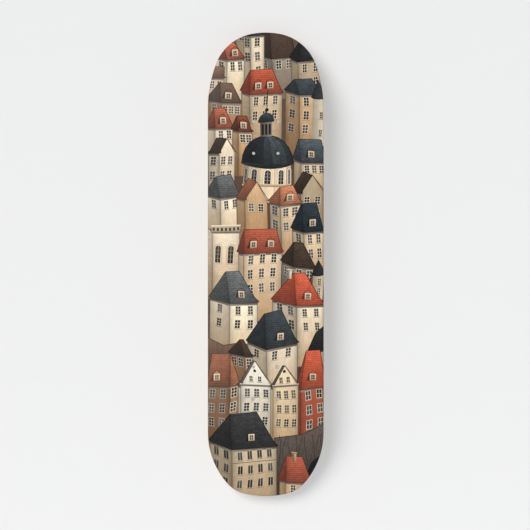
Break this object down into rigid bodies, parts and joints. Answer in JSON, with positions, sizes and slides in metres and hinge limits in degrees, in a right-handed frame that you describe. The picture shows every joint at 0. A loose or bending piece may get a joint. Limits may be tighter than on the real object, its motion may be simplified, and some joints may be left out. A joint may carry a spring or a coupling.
{
  "type": "skateboard deck",
  "caption": "Bare double-kick skateboard deck, concave across, pressed from maple veneers with a printed film underneath and drilled for trucks at both ends.",
  "frame": {"origin": "middle of the tail truck's bolt pattern, on the wooden underside of the deck", "axes": "+Z along the deck towards the tail tip, +Y through the deck from its printed underside to its riding face, +X across it, to the right when facing the print with the tail up"},
  "size_m": [0.1968, 0.0567, 0.7897],
  "materials": {
    "face_maple": "clear satin lacquer, long grain",
    "core_maple": "sanded long-grain ply edge under clear lacquer",
    "cross_maple": "sanded end-grain ply edge under clear lacquer",
    "printed_film": "satin heat-transfer film with a painted townscape pattern"
  },
  "bodies": {
    "root": {"bottom_face_veneer": "face_maple", "lower_core_veneer": "core_maple", "lower_cross_veneer": "cross_maple", "middle_core_veneer": "core_maple", "upper_cross_veneer": "cross_maple", "upper_core_veneer": "core_maple", "top_face_veneer": "face_maple", "graphic_film": "printed_film"}
  },
  "joints": []
}
